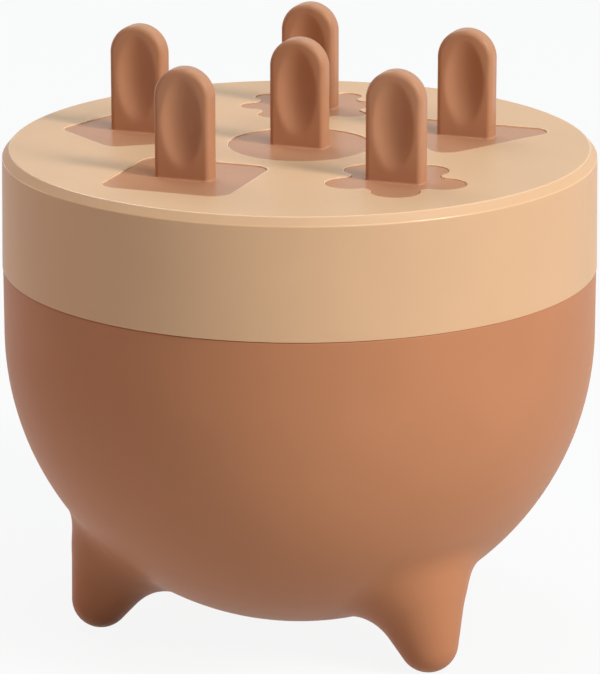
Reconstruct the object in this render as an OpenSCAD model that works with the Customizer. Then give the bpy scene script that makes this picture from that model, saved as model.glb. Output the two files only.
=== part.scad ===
// Six-cell ice pop mold: a round bowl on three soft legs, a tray of six
// hanging cells that sits on its rim, and six pop handles, one in each cell.
// The origin is on the table, under the middle of the bowl. Up is +Z.

/* [Bowl] */
// How far the rim of the bowl stands in from the skirt of the tray
seam_step = 0.2; // [0:0.05:0.6]
// Height of the straight wall between the seam and the round belly
bowl_side_h = 18.5; // [12:0.5:30]
// Wall of the bowl and of its hollow legs
bowl_wall = 2.4; // [1.6:0.1:3.2]
// Height of the belly over the table
belly_clear = 3; // [2:0.5:8]
// Height of the neck that rises inside the tray
neck_h = 9; // [5:0.5:14]
// Wall of that neck
neck_wall = 2.2; // [1.6:0.1:3]
// How far the inside of the neck runs down under the seam
neck_root = 1; // [0:0.5:4]
// Round on the shoulder and on the top of the neck
rim_round = 0.6; // [0.3:0.1:0.7]

/* [Legs] */
// How far each leg tip stands in from the side of the bowl
leg_inset = 24.8; // [20:0.2:32]
// Radius of the ball at the tip
leg_tip_r = 8; // [6.5:0.1:9.5]
// Radius of the leg at its root in the belly
leg_root_r = 13.3; // [11:0.1:15]
// How far the root leans in towards the axis
leg_lean = 5.5; // [2:0.5:9]
// Height of the root over the middle of the tip
leg_root_h = 13.4; // [11:0.2:18]
// Size of the soft blend between the leg and the belly
leg_blend = 9.6; // [4:0.2:14]
// Diameter of the small flat that each leg stands on
foot_flat_d = 5; // [3:0.5:7]
// Turn of the first leg round the axis
leg_turn = 188.5; // [0:0.5:359]

/* [Tray] */
// Land between the widest cell and the outside of the tray, which sets how wide tray and bowl are
rim_land = 11.1; // [9:0.1:17]
// Height of the tray over the seam
tray_h = 32.2; // [24:0.2:44]
// Wall of the skirt
skirt_wall = 2.4; // [2:0.1:2.8]
// How much the skirt draws in from the seam up to the bevel
skirt_draw = 0.45; // [0:0.05:1.5]
// How much the inside of the skirt draws in up to the plate
inner_draw = 1; // [0:0.1:2]
// Round inside, between the skirt and the plate
inner_round = 3; // [1:0.5:4]
// Round on the outside foot of the skirt
skirt_foot_r = 0.4; // [0.2:0.1:0.8]
// Width of the bevel round the top
bevel_w = 1.9; // [1:0.1:3]
// Height of the bevel
bevel_h = 2.2; // [1:0.1:4]
// Round on both edges of the bevel
bevel_round = 0.9; // [0.3:0.1:1.2]
// Thickness of the top plate
plate_t = 2.6; // [2:0.1:3.4]

/* [Cells] */
// Distance of the five outer cells from the axis
cell_ring_r = 46.5; // [45:0.1:52]
// Turn of the first outer cell round the axis
cell_ring_turn = 14.4; // [0:0.1:72]
// Turn of the cell shapes and of the grips
cell_turn = -20; // [-90:1:90]
// Depth of a cell, from the top of the tray to its floor
cell_depth = 75; // [67:1:85]
// Wall of a cell
cell_wall = 1.6; // [1.2:0.1:2]
// Draft of the cell wall, in degrees
cell_draft = 1; // [0.5:0.1:2]
// Round at the foot of a cell
cell_foot_r = 2.5; // [1:0.1:3.5]
// Width of the ledge that a cap rests on
ledge_w = 2; // [1.5:0.1:2.8]
// Thickness of the ledge
ledge_t = 1.6; // [1.2:0.1:2.2]
// Wall round the recess that takes a cap
recess_wall = 1.4; // [1:0.1:1.6]
// Round on the edge of that recess
recess_round = 0.8; // [0.3:0.1:1]

/* [Shapes] */
// Radius of the circle
circle_r = 18.8; // [16:0.1:19.5]
// Radius to a corner tip of the square
square_r = 22.4; // [19:0.1:23]
// Radius to a corner tip of the triangle
triangle_r = 21.8; // [18:0.1:22.4]
// Radius to a corner tip of the pentagon
pentagon_r = 20.3; // [18:0.1:22]
// Round of the corners of those three
corner_r = 4.5; // [3:0.1:6]
// Radius to a tip of the star
star_tip_r = 18.6; // [17:0.1:20]
// Radius to a notch of the star
star_notch_r = 12; // [11:0.1:13]
// Round of a tip of the star
star_lobe_r = 6; // [5:0.1:6.4]
// Radius to a tip of the flower
flower_tip_r = 19; // [18:0.1:20.5]
// Radius to a notch of the flower
flower_notch_r = 14.4; // [13:0.1:14.6]
// Round of a petal of the flower
flower_lobe_r = 3.8; // [3.2:0.1:4]

/* [Handles] */
// Thickness of a cap
cap_t = 3; // [2.4:0.1:4]
// Gap between a cap and the wall of its recess
cap_gap = 0.3; // [0.2:0.05:0.5]
// Round on the top edge of a cap
cap_round = 0.8; // [0.3:0.1:1]
// Width of a grip
grip_w = 15.6; // [13.6:0.1:18]
// Thickness of a grip
grip_t = 5.6; // [5:0.1:7]
// Height of a grip over its cap
grip_h = 29; // [27:0.5:36]
// Round along the edges of a grip
grip_round = 1.4; // [0.6:0.1:1.8]
// Width of the thumb dimple
dimple_w = 11.4; // [9:0.1:12]
// Height of the thumb dimple
dimple_h = 23; // [16:0.1:24]
// Depth of the thumb dimple
dimple_deep = 1.7; // [1:0.1:2.2]
// Height of the foot of the dimple over the cap
dimple_lift = 3.4; // [2.4:0.1:4.5]
// Width of the stick under a cap
stick_w = 11; // [8:0.1:13]
// Thickness of the stick
stick_t = 4; // [3:0.1:5]
// Length of the stick
stick_l = 56; // [46:1:60]
// Number of holes in the stick, which the ice locks into
stick_holes = 3; // [1:1:3]
// Diameter of those holes
stick_hole_d = 4.6; // [3:0.1:6]
// Distance from one hole to the next
stick_hole_gap = 13; // [10:0.5:14]

/* [Fit] */
// Gap between the neck of the bowl and the skirt of the tray
neck_gap = 0.3; // [0.2:0.05:0.6]

/* [Hidden] */

// Colours
TERRACOTTA = [0.70, 0.45, 0.33];
CREAM = [0.89, 0.75, 0.61];
COCOA = [0.69, 0.44, 0.33];

// Radii of the tray and the bowl, and levels over the table
cell_reach = max(circle_r, square_r, triangle_r, pentagon_r, star_tip_r, flower_tip_r);
tray_r = cell_ring_r + cell_reach + rim_land;
bowl_r = tray_r - seam_step;
belly_z = belly_clear + bowl_r;
seam_z = belly_z + bowl_side_h;
top_z = seam_z + tray_h;
skirt_in_r = tray_r - skirt_wall;
neck_r = skirt_in_r - neck_gap;
neck_in_r = neck_r - neck_wall;

// Leg in its own third of the bowl: it stands along +X and its axis runs from the tip to the root
leg_reach = bowl_r - leg_inset;
leg_step = 120;
tip_at = [leg_reach, 0, sqrt(leg_tip_r * leg_tip_r - foot_flat_d * foot_flat_d / 4)];
leg_len = norm([leg_lean, leg_root_h]);
leg_axis = [-leg_lean, 0, leg_root_h] / leg_len;
leg_out = [leg_root_h, 0, leg_lean] / leg_len;
leg_side = [0, 1, 0];
flare = (leg_root_r - leg_tip_r) / leg_len;
flare_cos = sqrt(1 - flare * flare);
belly_at = [0, 0, belly_z];

// Steps of the bowl's mesh: round a third of the equator, down a meridian, and the rings
// up the leg and out over the belly, first those of the outer skin and then those of the inner
arc_steps = 18;
fall_steps = 8;
loop_steps = arc_steps + 2 * fall_steps;
round_steps = 3 * arc_steps;
leg_rings = [[0.4, 0.75, 1], [0.45, 0.9]];
belly_rings = [[0.07, 0.16, 0.29, 0.44, 0.62, 0.81], [0.1, 0.28, 0.52, 0.76]];

// How far down the ball of the tip its ring lies, as a slope
tip_drop = 0.9;

// Steps of the rounds: at a corner, a lobe and a notch of an outline, on an edge of the tray
// or of a cap, on an edge of the bowl's wall, and round an axis
corner_steps = 5;
lobe_steps = 5;
notch_steps = 3;
edge_steps = 4;
wall_steps = 2;
turn_steps = 96;

// How far a cut through the tray's top runs on over it
over = 1;

// General points and curves
function unit(v) = v / norm(v);
function blend(a, b, part) = a + (b - a) * part;
function turned(p, a) = [p.x * cos(a) - p.y * sin(a), p.x * sin(a) + p.y * cos(a), p.z];
function joined(lists) = [for (list = lists) each list];

// Points of an arc in the plane, from one angle to the other
function arc(middle, r, from, to, steps) =
    [for (i = [0 : steps]) middle + r * [cos(blend(from, to, i / steps)), sin(blend(from, to, i / steps))]];

// A closed path of [point, round] pairs with each corner rounded by its own radius
function rounded(path, steps) = let (n = len(path)) joined([for (i = [0 : n - 1])
    let (p = path[i][0], r = path[i][1],
         a = unit(path[(i + n - 1) % n][0] - p), b = unit(path[(i + 1) % n][0] - p),
         half = acos(a * b) / 2, middle = p + unit(a + b) * r / sin(half),
         start = p + a * r / tan(half), end = p + b * r / tan(half))
    r == 0 ? [p] : [for (k = [0 : steps])
        middle + r * unit(blend(start - middle, end - middle, k / steps))]]);

// Outlines of the cells, grown outwards by a margin
function corners_outline(n, tip_r, first, grow) = joined([for (i = [0 : n - 1])
    let (a = first + 360 * i / n)
    arc((tip_r - corner_r) * [cos(a), sin(a)], corner_r + grow, a - 180 / n, a + 180 / n,
        corner_steps)]);

function lobes_outline(n, tip_r, notch_r, lobe_r, first, grow) =
    let (lobe_at = tip_r - lobe_r, step = 180 / n, gap = lobe_r - notch_r,
         notch_at = (lobe_at * lobe_at - gap * gap) / (2 * (lobe_at * cos(step) + gap)),
         swing = atan2(notch_at * sin(step), notch_at * cos(step) - lobe_at))
    joined([for (i = [0 : n - 1])
        let (a = first + 360 * i / n,
             lobe = arc(lobe_at * [cos(a), sin(a)], lobe_r + grow, a - swing, a + swing, lobe_steps),
             notch = arc(notch_at * [cos(a + step), sin(a + step)], notch_at - notch_r - grow,
                         a + swing + 180, a + 2 * step - swing + 180, notch_steps))
        concat(lobe, [for (k = [1 : notch_steps - 1]) notch[k]])]);

function outline(shape, grow) =
    shape == "square" ? corners_outline(4, square_r, 45, grow)
  : shape == "triangle" ? corners_outline(3, triangle_r, -90, grow)
  : shape == "pentagon" ? corners_outline(5, pentagon_r, -90, grow)
  : shape == "star" ? lobes_outline(5, star_tip_r, star_notch_r, star_lobe_r, 0, grow)
  : lobes_outline(8, flower_tip_r, flower_notch_r, flower_lobe_r, 22.5, grow);

function shape_r(shape) =
    shape == "circle" ? circle_r : shape == "square" ? square_r : shape == "triangle" ? triangle_r
  : shape == "pentagon" ? pentagon_r : shape == "star" ? star_tip_r : flower_tip_r;

// Places of the cells: one in the middle and five round it
SHAPES = ["circle", "triangle", "flower", "pentagon", "square", "star"];
function cell_at(i) = i == 0 ? [0, 0]
    : let (a = cell_ring_turn + 72 * (i - 1)) cell_ring_r * [cos(a), sin(a)];

module in_cell(i) {
    translate([cell_at(i).x, cell_at(i).y, top_z]) rotate([0, 0, cell_turn]) children();
}

// A solid through closed rings of equal count, from the lowest ring to the highest
module loft(rings) {
    n = len(rings[0]);
    last = len(rings) - 1;
    polyhedron(joined(rings), concat(
        [[for (i = [0 : n - 1]) i]],
        [for (k = [0 : last - 1], i = [0 : n - 1])
            [k * n + i, (k + 1) * n + i, (k + 1) * n + (i + 1) % n, k * n + (i + 1) % n]],
        [[for (i = [n - 1 : -1 : 0]) last * n + i]]), convexity = 6);
}

// Bowl: distances that its surface is drawn from
function belly_gap(p) = p.z > belly_z ? norm([p.x, p.y]) - bowl_r : norm(p - belly_at) - bowl_r;

function leg_gap(p) = let (w = p - tip_at, y = w * leg_axis, x = sqrt(max(w * w - y * y, 0)),
                           q = flare_cos * y + flare * x)
    q < 0 ? norm([x, y]) - leg_tip_r
  : q > flare_cos * leg_len ? norm([x, y - leg_len]) - leg_root_r
  : x * flare_cos - y * flare - leg_tip_r;

function skin_gap(p) = let (a = belly_gap(p), b = leg_gap(p))
    min(a, b) - pow(max(leg_blend - abs(a - b), 0), 2) / (4 * leg_blend);

function skin_slope(p) = let (h = 0.02, g = skin_gap(p))
    [skin_gap(p + [h, 0, 0]) - g, skin_gap(p + [0, h, 0]) - g, skin_gap(p + [0, 0, h]) - g] / h;

// Moves a point straight to the skin, or to a depth under it
function settled(p, deep, turns) = turns == 0 ? p
    : let (s = skin_slope(p)) settled(p - s * (skin_gap(p) + deep) / (s * s), deep, turns - 1);

// Edge of one third of the belly: out along the equator, down one meridian, up the other, and back
function edge_dir(i) = let (half = arc_steps / 2, a = leg_step / arc_steps, down = 90 / fall_steps)
    i <= half ? [cos(i * a), sin(i * a), 0]
  : i <= half + fall_steps ? meridian_dir(leg_step / 2, (i - half) * down)
  : i <= half + 2 * fall_steps ? meridian_dir(-leg_step / 2, (half + 2 * fall_steps - i) * down)
  : [cos((i - loop_steps) * a), sin((i - loop_steps) * a), 0];

function meridian_dir(a, fall) = [cos(a) * cos(fall), sin(a) * cos(fall), -sin(fall)];

// Angle round the leg at which each line to that edge starts
function leg_angle(i) = let (p = belly_at + bowl_r * edge_dir(i) - tip_at) atan2(p * leg_side, p * leg_out);

// Point of the plain leg where its straight side starts, the side's direction, and its run to the belly
function side_dir(a) = cos(a) * leg_out + sin(a) * leg_side;
function side_start(a) = tip_at + leg_tip_r * (flare_cos * side_dir(a) - flare * leg_axis);
function side_run(a) = flare * side_dir(a) + flare_cos * leg_axis;
function side_length(a) = let (p = side_start(a) - belly_at, b = p * side_run(a))
    -b - sqrt(b * b - p * p + bowl_r * bowl_r);

// Rings of one third, from the foot flat to the last one before the edge, at a depth under the skin
function foot_ring(deep) = let (fall = asin(foot_flat_d / 2 / leg_tip_r), r = leg_tip_r - deep)
    [for (i = [0 : loop_steps - 1]) let (a = leg_angle(i))
        tip_at + r * [sin(fall) * cos(a), sin(fall) * sin(a), -cos(fall)]];

function ball_ring(deep) = let (drop = [0, 0, -tip_drop])
    [for (i = [0 : loop_steps - 1]) let (a = leg_angle(i), side = unit(side_start(a) - tip_at))
        settled(tip_at + leg_tip_r * unit(side + drop), deep, 4)];

function side_ring(part, deep) =
    [for (i = [0 : loop_steps - 1]) let (a = leg_angle(i))
        settled(side_start(a) + side_run(a) * side_length(a) * part, deep, 6)];

function belly_ring(part, deep) =
    [for (i = [0 : loop_steps - 1]) let (a = leg_angle(i),
        from = unit(side_start(a) + side_run(a) * side_length(a) - belly_at))
        settled(belly_at + bowl_r * unit(blend(from, edge_dir(i), part)), deep, 6)];

function third(k, deep) = joined([foot_ring(deep), ball_ring(deep), side_ring(0, deep),
    joined([for (part = leg_rings[k]) side_ring(part, deep)]),
    joined([for (part = belly_rings[k]) belly_ring(part, deep)])]);

function ring_count(k) = 3 + len(leg_rings[k]) + len(belly_rings[k]);

// Shared edges of the thirds: the pole, three meridians and the equator
function shared(deep) = [for (dir = concat([[0, 0, -1]],
    [for (s = [0 : 2], t = [1 : fall_steps - 1]) meridian_dir((s + 0.5) * leg_step, t * 90 / fall_steps)],
    [for (e = [0 : round_steps - 1]) let (a = 360 * e / round_steps) [cos(a), sin(a), 0]]))
    belly_at + (bowl_r - deep) * dir];

// Points of skin k, 0 outside and 1 inside: the shared edges, three foot middles and three thirds
function skin(k, deep) = let (one = third(k, deep), foot = [tip_at.x, tip_at.y, one[0].z]) concat(
    shared(deep),
    [for (s = [0 : 2]) turned(foot, leg_step * s)],
    [for (s = [0 : 2], p = one) turned(p, leg_step * s)]);

// Places of those points in the skin's list
equator_base = 1 + 3 * (fall_steps - 1);
shared_size = equator_base + round_steps;
function third_size(k) = ring_count(k) * loop_steps;
function skin_size(k) = shared_size + 3 + 3 * third_size(k);

function equator_id(e) = equator_base + (e + round_steps) % round_steps;
function fall_id(s, t) = t == 0 ? equator_id(arc_steps * (s % 3) + arc_steps / 2)
    : t == fall_steps ? 0 : (s % 3) * (fall_steps - 1) + t;
function edge_id(s, i) = let (half = arc_steps / 2)
    i <= half ? equator_id(s * arc_steps + i)
  : i <= half + fall_steps ? fall_id(s, i - half)
  : i <= half + 2 * fall_steps ? fall_id(s + 2, half + 2 * fall_steps - i)
  : equator_id(s * arc_steps + i - loop_steps);
function ring_id(k, s, ring, i) = ring == ring_count(k) ? edge_id(s, i % loop_steps)
    : shared_size + 3 + s * third_size(k) + ring * loop_steps + i % loop_steps;

// Triangles of skin k, seen from outside the belly
function skin_faces(k) = [for (s = [0 : 2], i = [0 : loop_steps - 1])
    each concat([[shared_size + s, ring_id(k, s, 0, i), ring_id(k, s, 0, i + 1)]],
        [for (ring = [0 : ring_count(k) - 1])
            let (a = ring_id(k, s, ring, i), b = ring_id(k, s, ring + 1, i),
                 c = ring_id(k, s, ring + 1, i + 1), d = ring_id(k, s, ring, i + 1))
            each [[a, b, c], [a, c, d]]])];

// Profile of the wall over the equator: up outside, over the shoulder and the neck, and down inside
function wall_path() = let (in_r = bowl_r - bowl_wall, tuck = in_r - neck_in_r, root_z = seam_z - neck_root)
    rounded([[[bowl_r, belly_z], 0], [[bowl_r, seam_z], rim_round], [[neck_r, seam_z], 0],
        [[neck_r, seam_z + neck_h], rim_round], [[neck_in_r, seam_z + neck_h], rim_round],
        [[neck_in_r, root_z], 0], [[in_r, root_z - tuck], 0], [[in_r, belly_z], 0]], wall_steps);

module bowl_body() {
    path = wall_path();
    steps = len(path) - 1;
    inner = skin_size(0);
    walls = inner + skin_size(1);
    function wall_id(ring, e) = ring == 0 ? equator_id(e) : ring == steps ? inner + equator_id(e)
        : walls + (ring - 1) * round_steps + e % round_steps;
    points = concat(skin(0, 0), skin(1, bowl_wall),
        [for (ring = [1 : steps - 1], e = [0 : round_steps - 1])
            let (a = 360 * e / round_steps, p = path[ring]) [p.x * cos(a), p.x * sin(a), p.y]]);
    faces = concat(skin_faces(0),
        [for (f = skin_faces(1)) [inner + f[2], inner + f[1], inner + f[0]]],
        [for (ring = [0 : steps - 1], e = [0 : round_steps - 1])
            [wall_id(ring, e), wall_id(ring + 1, e), wall_id(ring + 1, e + 1), wall_id(ring, e + 1)]]);
    polyhedron(points, faces, convexity = 8);
}

module bowl() {
    color(TERRACOTTA) rotate([0, 0, leg_turn]) bowl_body();
}

// Tray: section of its top plate, bevel and skirt, turned round the axis
module tray_shell() {
    rotate_extrude($fn = 2 * turn_steps) polygon(rounded([
        [[0, top_z - plate_t], 0], [[skirt_in_r - inner_draw, top_z - plate_t], inner_round],
        [[skirt_in_r, seam_z], 0], [[tray_r, seam_z], skirt_foot_r],
        [[tray_r - skirt_draw, top_z - bevel_h], bevel_round],
        [[tray_r - skirt_draw - bevel_w, top_z], bevel_round], [[0, top_z], 0]], edge_steps));
}

// Share of a shape's full size that its cell has at a depth under the ledge
function cell_share(shape, down) = (shape_r(shape) - ledge_w - down * tan(cell_draft)) / shape_r(shape);

function flat_ring(points, z) = [for (p = points) [p.x, p.y, z]];

// Rings of a shaped cell from its floor up to its mouth, grown outwards by a wall
function cell_rings(shape, wall) =
    let (rim = -cap_t, floor_z = -cell_depth - wall, foot_r = cell_foot_r + wall,
         base = outline(shape, 0), r = shape_r(shape), down = cell_depth - cap_t - cell_foot_r)
    concat(
        [for (a = [90, 45]) flat_ring(base * (cell_share(shape, down) + (wall - foot_r * (1 - cos(a))) / r),
            floor_z + foot_r * (1 - sin(a)))],
        [flat_ring(base * (cell_share(shape, down) + wall / r), floor_z + foot_r)],
        [flat_ring(base * (cell_share(shape, 0) + wall / r), rim)]);

module cell_hollow(shape) {
    loft(concat(cell_rings(shape, 0), [
        flat_ring(outline(shape, cap_gap), -cap_t),
        flat_ring(outline(shape, cap_gap), -recess_round),
        flat_ring(outline(shape, cap_gap + recess_round * (1 - cos(45))), -recess_round * (1 - sin(45))),
        flat_ring(outline(shape, cap_gap + recess_round), 0),
        flat_ring(outline(shape, cap_gap + recess_round), over)]));
}

module cell_wall_solid(shape) {
    skirt = outline(shape, cap_gap + recess_wall);
    rings = cell_rings(shape, cell_wall);
    ledge_z = -cap_t - ledge_t;
    under = outline(shape, 0) * (cell_share(shape, ledge_t) + cell_wall / shape_r(shape));
    loft([rings[0], rings[1], rings[2], flat_ring(under, ledge_z), flat_ring(skirt, ledge_z),
        flat_ring(skirt, -plate_t / 2)]);
}

// The round cell, turned from its section
function round_section(wall) =
    let (r = circle_r - ledge_w + wall, foot_z = -cell_depth - wall, lean = tan(cell_draft))
    [[[0, foot_z], 0], [[r - (cell_depth - cap_t) * lean, foot_z], cell_foot_r + wall],
     [[r, wall == 0 ? -cap_t : -cap_t - ledge_t], 0]];

module round_hollow() {
    r = circle_r + cap_gap;
    rotate_extrude($fn = turn_steps) polygon(concat(rounded(concat(round_section(0), [[[r, -cap_t], 0],
        [[r, -recess_round], 0]]), edge_steps),
        arc([r + recess_round, -recess_round], recess_round, 180, 90, edge_steps),
        [[r + recess_round, over], [0, over]]));
}

module round_wall_solid() {
    r = circle_r + cap_gap + recess_wall;
    rotate_extrude($fn = turn_steps) polygon(rounded(concat(round_section(cell_wall),
        [[[r, -cap_t - ledge_t], 0], [[r, -plate_t / 2], 0], [[0, -plate_t / 2], 0]]), edge_steps));
}

module mold_tray() {
    color(CREAM) difference() {
        union() {
            tray_shell();
            in_cell(0) round_wall_solid();
            for (i = [1 : 5]) in_cell(i) cell_wall_solid(SHAPES[i]);
        }
        in_cell(0) round_hollow();
        for (i = [1 : 5]) in_cell(i) cell_hollow(SHAPES[i]);
    }
}

// Handle: cap, grip and stick in one piece
module cap_solid(shape) {
    if (shape == "circle")
        rotate_extrude($fn = turn_steps) polygon(rounded([[[0, -cap_t], 0], [[circle_r, -cap_t], 0],
            [[circle_r, 0], cap_round], [[0, 0], 0]], edge_steps));
    else
        loft([flat_ring(outline(shape, 0), -cap_t), flat_ring(outline(shape, 0), -cap_round),
            flat_ring(outline(shape, -cap_round * (1 - cos(45))), -cap_round * (1 - sin(45))),
            flat_ring(outline(shape, -cap_round), 0)]);
}

module grip_section() {
    x = grip_w / 2 - grip_round;
    y = grip_t / 2 - grip_round;
    square([2 * x, grip_t], center = true);
    square([grip_w, 2 * y], center = true);
    for (sx = [-1, 1], sy = [-1, 1]) translate([sx * x, sy * y]) circle(grip_round, $fn = turn_steps / 2);
}

// The dimple's surface swings a shallow arc round an upright axis in front of the grip
module thumb_dimple() {
    reach = dimple_w * dimple_w / 4 / dimple_deep;
    r = (reach + dimple_deep) / 2;
    swing_r = (dimple_h * dimple_h / 4 + dimple_deep * dimple_deep) / 2 / dimple_deep;
    translate([0, dimple_deep - grip_t / 2 - r, dimple_lift + dimple_h / 2])
        rotate_extrude($fn = turn_steps) intersection() {
            translate([r - swing_r, 0]) circle(swing_r, $fn = 2 * turn_steps);
            translate([0, -dimple_h]) square([r, 2 * dimple_h]);
        }
}

module grip() {
    shaft_h = grip_h - grip_w / 2;
    sunk = cap_t / 2;
    difference() {
        union() {
            translate([0, 0, -sunk]) linear_extrude(shaft_h + sunk) grip_section();
            translate([0, 0, shaft_h]) rotate([90, 0, 0]) rotate_extrude($fn = turn_steps) intersection() {
                grip_section();
                translate([0, -grip_t]) square([grip_w, 2 * grip_t]);
            }
        }
        thumb_dimple();
    }
}

module stick() {
    sunk = cap_t / 2;
    round_at = -cap_t - stick_l + stick_w / 2;
    rotate([90, 0, 0]) linear_extrude(stick_t, center = true) difference() {
        union() {
            translate([0, round_at]) circle(stick_w / 2, $fn = turn_steps);
            translate([-stick_w / 2, round_at]) square([stick_w, -round_at - sunk]);
        }
        for (k = [0 : stick_holes - 1])
            translate([0, round_at + k * stick_hole_gap]) circle(stick_hole_d / 2, $fn = turn_steps / 2);
    }
}

module pop_handle(i) {
    color(COCOA) in_cell(i) union() {
        cap_solid(SHAPES[i]);
        grip();
        stick();
    }
}

bowl();
mold_tray();
pop_handle(0);  // pop_handle_circle
pop_handle(1);  // pop_handle_triangle
pop_handle(2);  // pop_handle_flower
pop_handle(3);  // pop_handle_pentagon
pop_handle(4);  // pop_handle_square
pop_handle(5);  // pop_handle_star
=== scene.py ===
"""Looks for a six-cell ice pop mold: satin plastic on smooth meshes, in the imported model's own frame."""
import logging
import math
from dataclasses import dataclass
from enum import Enum
from typing import Iterable, Sequence

import bmesh
import bpy
import numpy as np
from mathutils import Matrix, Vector
from mathutils.geometry import tessellate_polygon


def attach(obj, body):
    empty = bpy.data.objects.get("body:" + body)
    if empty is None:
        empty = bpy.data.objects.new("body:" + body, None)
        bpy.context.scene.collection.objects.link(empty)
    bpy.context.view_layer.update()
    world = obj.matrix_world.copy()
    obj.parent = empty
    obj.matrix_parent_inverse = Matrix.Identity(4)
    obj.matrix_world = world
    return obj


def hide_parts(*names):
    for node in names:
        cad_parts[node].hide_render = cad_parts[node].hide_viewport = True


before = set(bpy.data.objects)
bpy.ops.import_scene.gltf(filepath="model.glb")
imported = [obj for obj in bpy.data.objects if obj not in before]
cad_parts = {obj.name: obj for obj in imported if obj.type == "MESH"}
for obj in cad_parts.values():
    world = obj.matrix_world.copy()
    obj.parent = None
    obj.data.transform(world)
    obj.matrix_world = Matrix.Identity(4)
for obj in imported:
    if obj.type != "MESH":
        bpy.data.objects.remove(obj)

LOG = logging.getLogger("ice_pop_mold")
BODY = "root"

# The pieces are drawn in millimetres and made in metres.
MM = 0.001

# Points of a mesh that are nearer than WELD are joined, and edges under SLIVER dissolved, in millimetres.
WELD = 0.002
SLIVER = 0.0005
SHARP_BEND = math.radians(50)

# A step of a rounded edge is narrower than EDGE_STEP, in metres, and bends outwards by more than EDGE_BEND.
# Marked faces get a lower roughness and, where a finish sets pale, a painted highlight.
EDGE_MARK = "rounded_edge"
EDGE_BEND = math.radians(4)
EDGE_STEP = 0.00035

# The bowl is made of one third for each leg.
LEGS = 3
THIRD = 360 / LEGS

# A ring or line is held as the numbers of its points in the mesh.
Ring = np.ndarray


def linear(red: int, green: int, blue: int) -> tuple[float, float, float, float]:
    """Turns a colour of 0 to 255 into the linear colour that a shader takes.

    Args:
        red: Red of the sRGB colour.
        green: Green of the sRGB colour.
        blue: Blue of the sRGB colour.

    Returns:
        The linear colour, with alpha 1.
    """
    def one(value: int) -> float:
        """Returns one channel in linear light."""
        part = value / 255
        return part / 12.92 if part <= 0.04045 else ((part + 0.055) / 1.055) ** 2.4
    return one(red), one(green), one(blue), 1.0


def unit(vectors: np.ndarray) -> np.ndarray:
    """Returns the vectors in the last axis at length 1."""
    return vectors / np.linalg.norm(vectors, axis=-1, keepdims=True)


def heading(degrees: float) -> np.ndarray:
    """Returns the direction at an angle, seen from above and anticlockwise from the right."""
    return np.array([math.cos(math.radians(degrees)), math.sin(math.radians(degrees))])


def on_circle(degrees: np.ndarray) -> np.ndarray:
    """Returns the points at those angles of a circle with radius 1."""
    return np.column_stack([np.cos(np.radians(degrees)), np.sin(np.radians(degrees))])


def arc(middle: np.ndarray, radius: float, start: float, end: float, steps: int) -> np.ndarray:
    """Draws an arc.

    Args:
        middle: Its middle.
        radius: Its radius.
        start: Angle of its first point, in degrees.
        end: Angle of its last point.
        steps: Steps between the two.

    Returns:
        Its points, both ends among them.
    """
    return middle + radius * on_circle(np.linspace(start, end, steps + 1))


def between(steps: int) -> np.ndarray:
    """Returns the shares of a length at which its steps meet, without its ends."""
    return np.linspace(0, 1, steps + 1)[1:-1]


def quarter(steps: int) -> np.ndarray:
    """Returns the angles of a quarter turn in radians, without its start."""
    return np.radians(np.linspace(0, 90, steps + 1))[1:]


def turned(points: np.ndarray, degrees: float) -> np.ndarray:
    """Turns points about the upright axis.

    Args:
        points: Points with x and y first in the last axis.
        degrees: Turn, anticlockwise from above.

    Returns:
        The turned points.
    """
    cosine, sine = heading(degrees)
    result = np.array(points, dtype=float)
    result[..., 0] = points[..., 0] * cosine - points[..., 1] * sine
    result[..., 1] = points[..., 0] * sine + points[..., 1] * cosine
    return result


def rounded(path: Sequence[tuple[float, float, float]], steps: int) -> list[tuple[float, float]]:
    """Rounds the corners of an open path.

    Args:
        path: Corners as (x, y, radius); the two ends keep their place.
        steps: Steps in each round.

    Returns:
        The points of the rounded path.
    """
    points: list[tuple[float, float]] = []
    for index, (x, y, radius) in enumerate(path):
        here = np.array([x, y])
        if radius == 0 or index in (0, len(path) - 1):
            points.append((x, y))
            continue
        before = unit(np.array(path[index - 1][:2]) - here)
        after = unit(np.array(path[index + 1][:2]) - here)
        half = math.acos(float(np.clip(before @ after, -1, 1))) / 2
        middle = here + unit(before + after) * radius / math.sin(half)
        start = here + before * radius / math.tan(half) - middle
        end = here + after * radius / math.tan(half) - middle
        swing = math.atan2(start[0] * end[1] - start[1] * end[0], float(start @ end))
        for step in range(steps + 1):
            angle = swing * step / steps
            points.append((middle[0] + start[0] * math.cos(angle) - start[1] * math.sin(angle),
                           middle[1] + start[0] * math.sin(angle) + start[1] * math.cos(angle)))
    return points


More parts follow.
